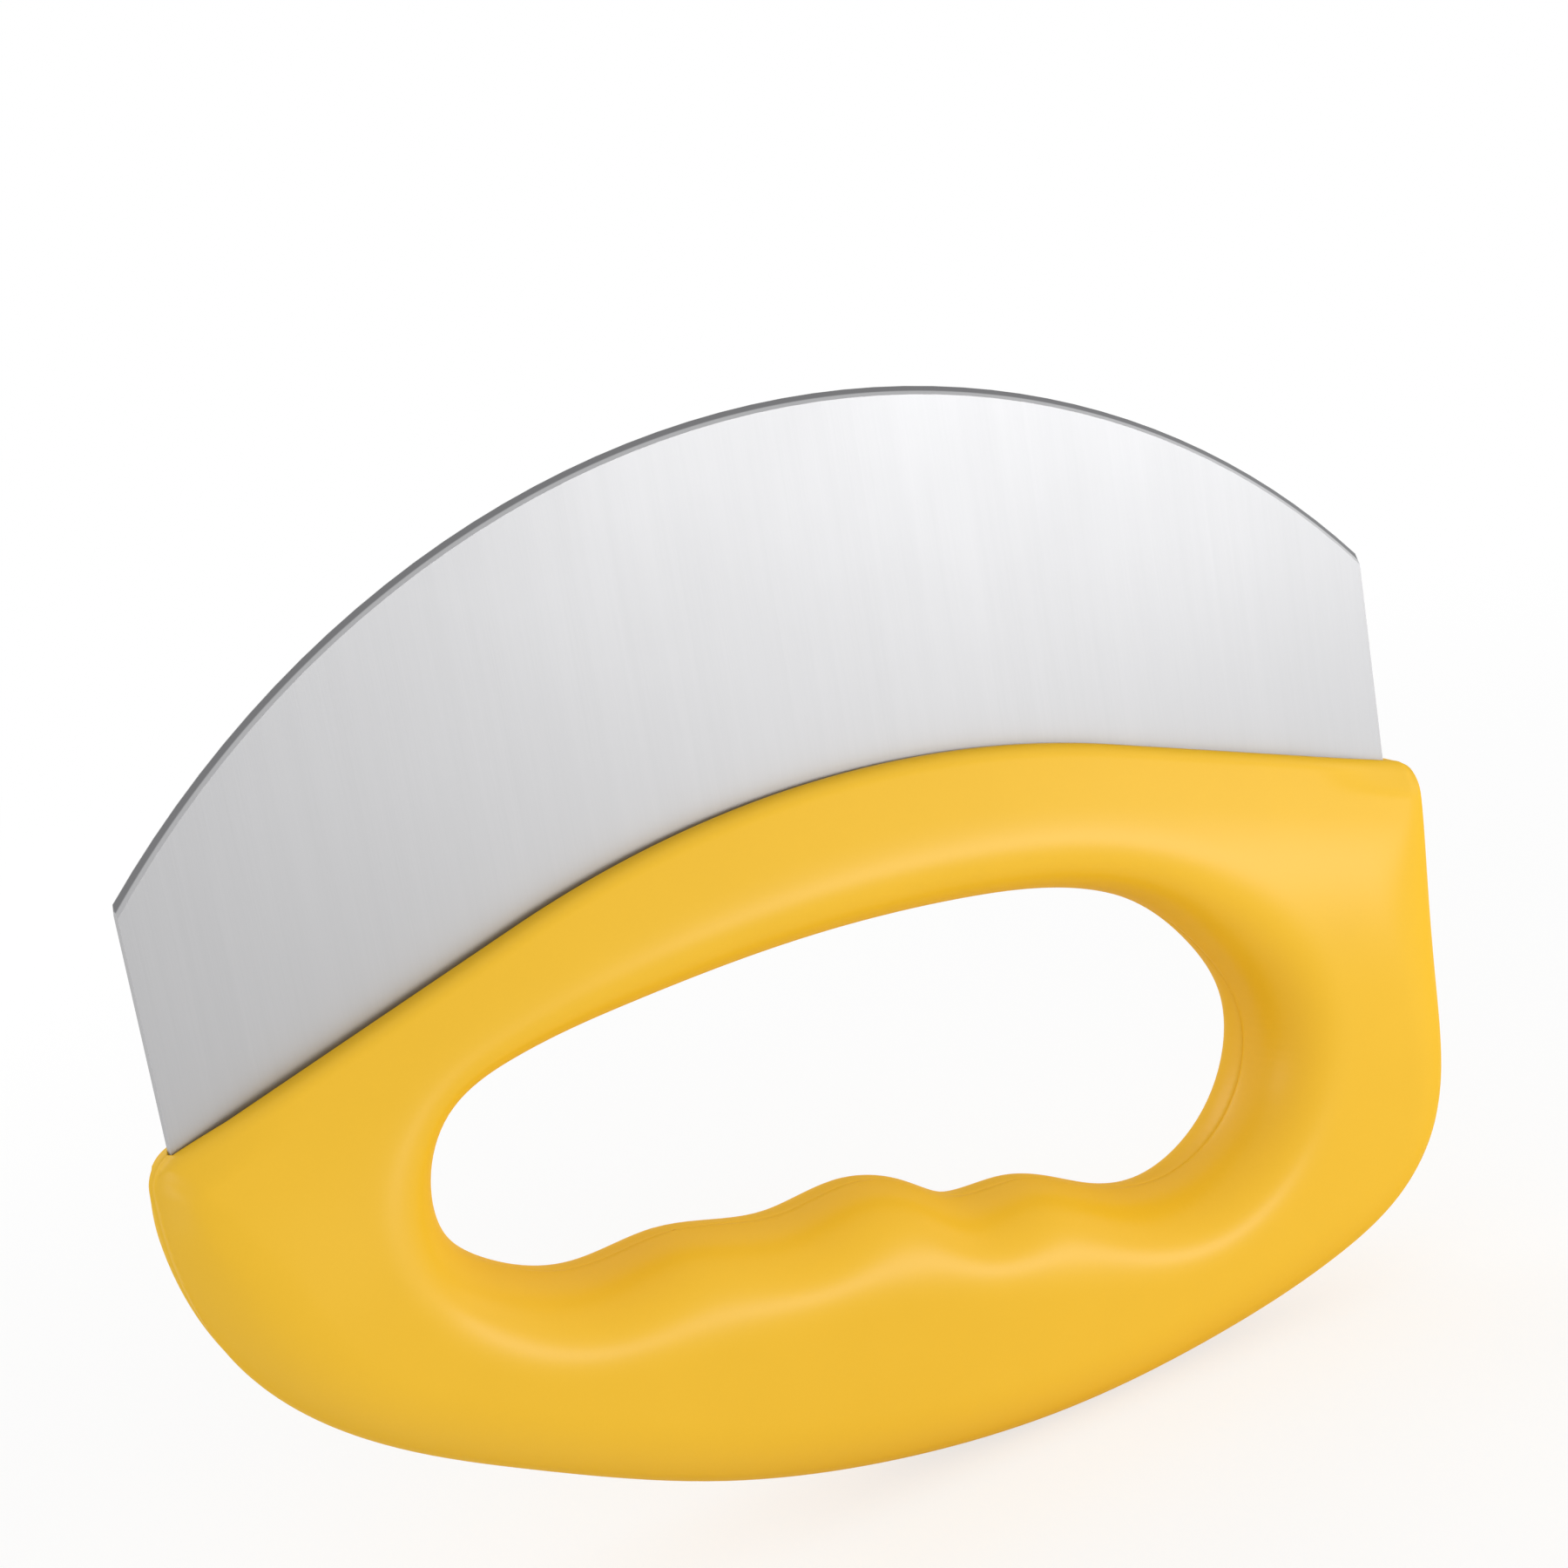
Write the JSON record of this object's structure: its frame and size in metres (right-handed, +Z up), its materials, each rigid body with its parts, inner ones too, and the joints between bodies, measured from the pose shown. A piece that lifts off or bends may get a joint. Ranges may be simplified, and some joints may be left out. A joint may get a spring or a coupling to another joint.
{
  "type": "rocking pizza knife",
  "caption": "Rocking pizza knife with an arched steel blade and a closed-loop plastic handle with finger grooves.",
  "frame": {"origin": "under the middle of the handle, at the height of its lowest point", "axes": "+X along the blade, to the right in the picture; +Z up towards the cutting edge; +Y through the thickness, away from the picture's front face"},
  "size_m": [0.16, 0.02, 0.1238],
  "materials": {
    "blade_steel": "fine brushed stainless sheet",
    "handle_plastic": "satin yellow moulded plastic",
    "pin_steel": "plain ground steel"
  },
  "bodies": {
    "root": {"blade": "blade_steel", "front_shell": "handle_plastic", "rear_shell": "handle_plastic", "band_pin_left": "pin_steel", "band_pin_middle": "pin_steel", "band_pin_right": "pin_steel", "lobe_pin_left": "pin_steel", "lobe_pin_right": "pin_steel", "grip_pin_left": "pin_steel", "grip_pin_middle": "pin_steel", "grip_pin_right": "pin_steel"}
  },
  "joints": []
}
